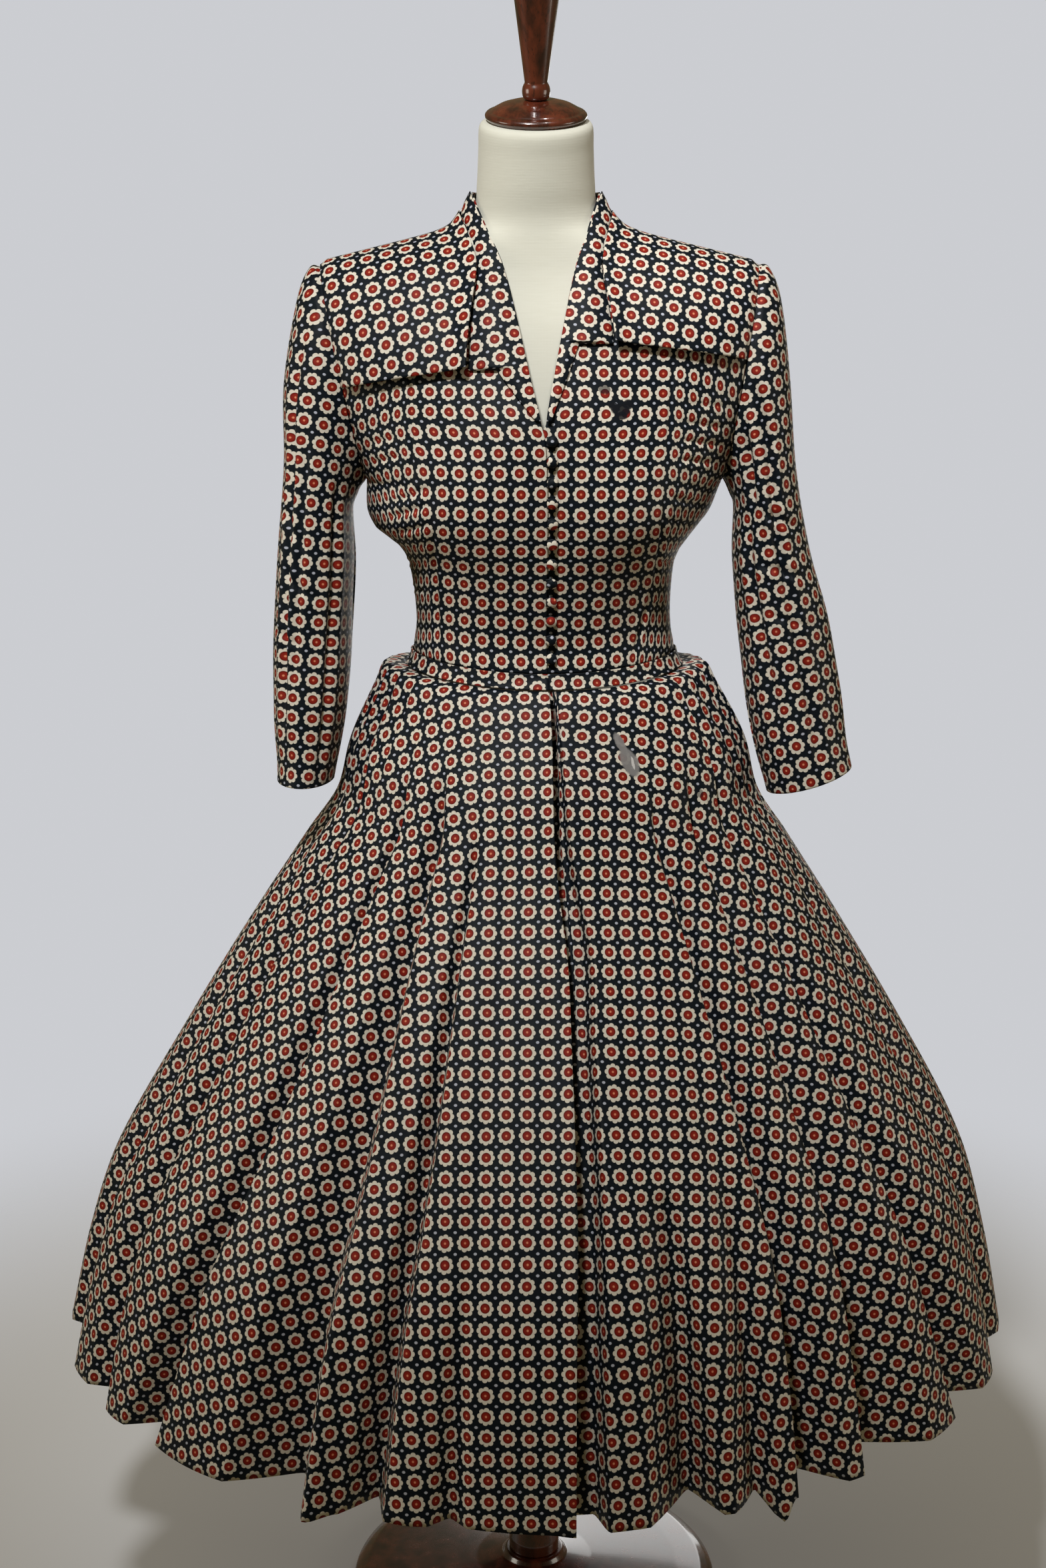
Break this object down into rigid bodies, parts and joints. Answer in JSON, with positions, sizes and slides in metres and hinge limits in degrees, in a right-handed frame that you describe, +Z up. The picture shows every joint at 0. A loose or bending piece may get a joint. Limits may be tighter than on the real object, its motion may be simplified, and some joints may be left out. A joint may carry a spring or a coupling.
{
  "type": "shirtwaist dress on a dress form",
  "caption": "Full-skirted shirtwaist dress with wing yokes, narrow lapels, three-quarter sleeves and a button front, worn on a limbless dress form with a wooden stand.",
  "frame": {"origin": "middle of the underside of the stand's base, on the floor", "axes": "+Z up, -Y out of the dress's front, +X towards the wearer's left side"},
  "size_m": [0.9402, 0.8446, 1.5995],
  "materials": {
    "printed_sateen": "cotton sateen with a small flower repeat, soft sheen",
    "form_cloth": "matt cream cover cloth",
    "dark_wood": "glossy dark red-brown varnish"
  },
  "bodies": {
    "root": {"bodice_front_right": "printed_sateen", "bodice_front_left": "printed_sateen", "bodice_back": "printed_sateen", "yoke_right": "printed_sateen", "yoke_left": "printed_sateen", "lapel_right": "printed_sateen", "lapel_left": "printed_sateen", "collar_back": "printed_sateen", "sleeve_right": "printed_sateen", "sleeve_left": "printed_sateen", "waistband": "printed_sateen", "skirt_front_right": "printed_sateen", "skirt_front_left": "printed_sateen", "skirt_back_right": "printed_sateen", "skirt_back_left": "printed_sateen", "button_01": "printed_sateen", "button_02": "printed_sateen", "button_03": "printed_sateen", "button_04": "printed_sateen", "button_05": "printed_sateen", "button_06": "printed_sateen", "button_07": "printed_sateen", "button_08": "printed_sateen", "button_09": "printed_sateen", "button_10": "printed_sateen", "button_11": "printed_sateen", "button_12": "printed_sateen", "form_body": "form_cloth", "neck_cap": "dark_wood", "finial": "dark_wood", "pole": "dark_wood", "base": "dark_wood"}
  },
  "joints": []
}
